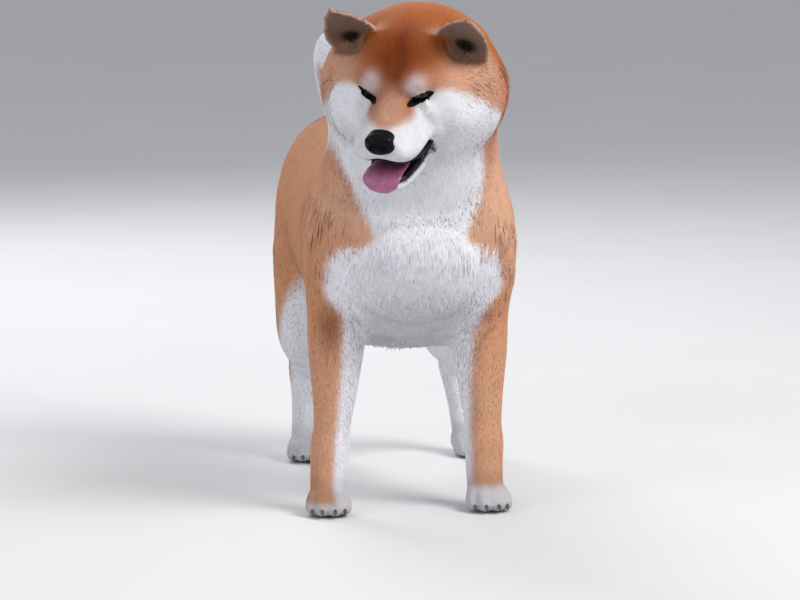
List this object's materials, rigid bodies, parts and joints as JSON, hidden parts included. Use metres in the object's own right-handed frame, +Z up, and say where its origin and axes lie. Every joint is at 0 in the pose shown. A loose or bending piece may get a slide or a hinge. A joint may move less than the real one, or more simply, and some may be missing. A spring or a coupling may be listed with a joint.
{
  "type": "shiba inu dog",
  "caption": "Life-size standing shiba inu with a red and cream double coat, head lowered and turned, mouth open, tail curled over the back.",
  "frame": {"origin": "on the ground, under the middle of the model's extents", "axes": "-Y the way the body faces, +X to the animal's left, +Z up"},
  "size_m": [0.2804, 0.6058, 0.5471],
  "materials": {
    "coat_red": "thick double coat of red hair",
    "coat_cream": "thick double coat of cream hair",
    "nose_leather": "moist, pebbled, near-black skin",
    "tongue_flesh": "wet pink flesh",
    "eye": "wet, very dark brown"
  },
  "bodies": {
    "root": {"torso": "coat_red", "neck": "coat_red", "head": "coat_red", "lower_jaw": "coat_cream", "nose": "nose_leather", "tongue": "tongue_flesh", "ear_right": "coat_red", "ear_left": "coat_red", "eye_right": "eye", "eye_left": "eye", "tail_base": "coat_cream", "tail_curl": "coat_cream", "tail_tip": "coat_cream", "foreleg_right": "coat_red", "foreleg_left": "coat_red", "hindleg_right": "coat_red", "hindleg_left": "coat_red", "forepaw_right": "coat_cream", "forepaw_left": "coat_cream", "hindpaw_right": "coat_cream", "hindpaw_left": "coat_cream"}
  },
  "joints": []
}
